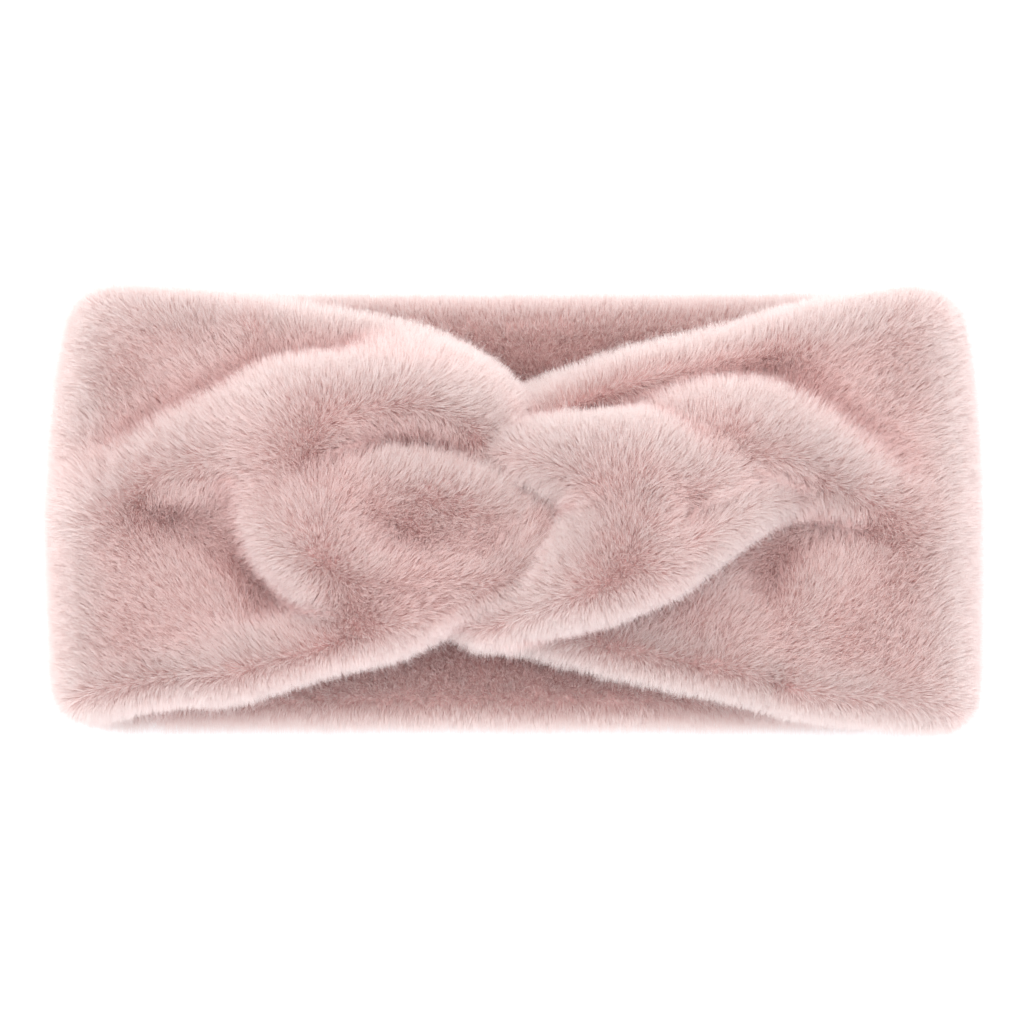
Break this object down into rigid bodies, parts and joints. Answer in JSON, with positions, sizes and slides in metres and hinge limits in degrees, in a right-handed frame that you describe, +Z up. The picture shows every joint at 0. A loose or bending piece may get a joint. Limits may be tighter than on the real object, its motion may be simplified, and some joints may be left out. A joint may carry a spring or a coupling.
{
  "type": "twist-front headband",
  "caption": "Soft plush headband with a knotted front: two interlinked fur loops sewn to a flat elastic back band, lying flat.",
  "frame": {"origin": "under the middle of the band, on the surface it lies on", "axes": "+X along the flattened band from the left side fold to the right one, +Y across its width, +Z up through the knot"},
  "size_m": [0.23, 0.11, 0.0579],
  "materials": {
    "plush_front": "soft faux fur, pale pink with cream tips",
    "plush_back": "soft faux fur, pale pink with cream tips",
    "elastic": "woven ribbed elastic",
    "thread": "spun polyester thread"
  },
  "bodies": {
    "root": {"left_loop": "plush_front", "right_loop": "plush_front", "back_band": "plush_back", "back_elastic": "elastic", "left_side_seam": "thread", "right_side_seam": "thread", "left_loop_seam": "thread", "right_loop_seam": "thread", "back_band_seam": "thread"}
  },
  "joints": []
}
